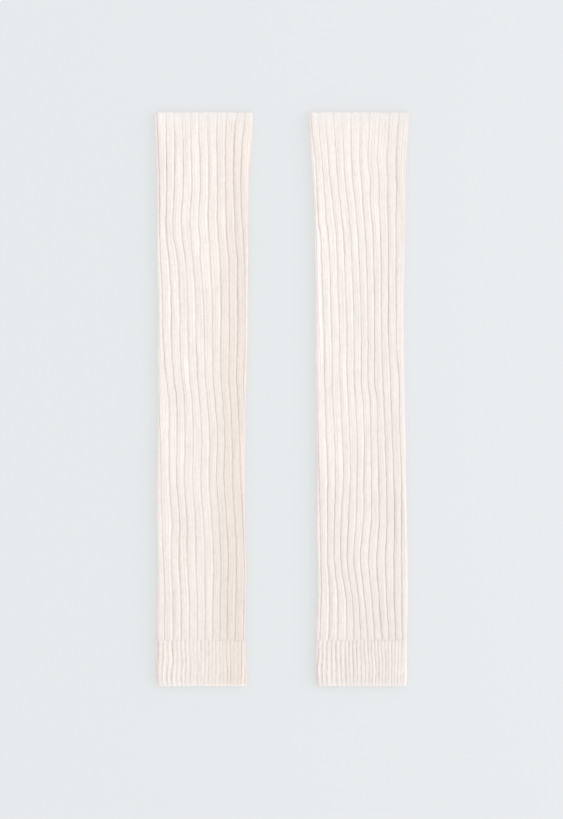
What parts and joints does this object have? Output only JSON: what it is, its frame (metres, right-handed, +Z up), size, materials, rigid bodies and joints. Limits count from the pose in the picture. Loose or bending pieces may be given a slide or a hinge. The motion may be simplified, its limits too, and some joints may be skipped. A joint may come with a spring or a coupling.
{
  "type": "pair of leg warmers",
  "caption": "Long rib-knit leg warmers laid flat side by side, each a straight wide-rib tube that ends in a fine-rib ankle cuff.",
  "frame": {"origin": "middle of the pair's footprint, on the surface that it lies on", "axes": "+Z up, out of the surface; +Y along the leg warmers, from the ankle cuffs to the top edges; +X to the right, from the left leg warmer to the right one"},
  "size_m": [0.2647, 0.6026, 0.007],
  "materials": {
    "leg_knit_left": "soft matt wide-rib knit, ecru",
    "cuff_knit_left": "soft matt fine-rib knit, ecru",
    "leg_knit_right": "soft matt wide-rib knit, ecru",
    "cuff_knit_right": "soft matt fine-rib knit, ecru"
  },
  "bodies": {
    "root": {"leg_left": "leg_knit_left", "cuff_left": "cuff_knit_left", "leg_right": "leg_knit_right", "cuff_right": "cuff_knit_right"}
  },
  "joints": []
}
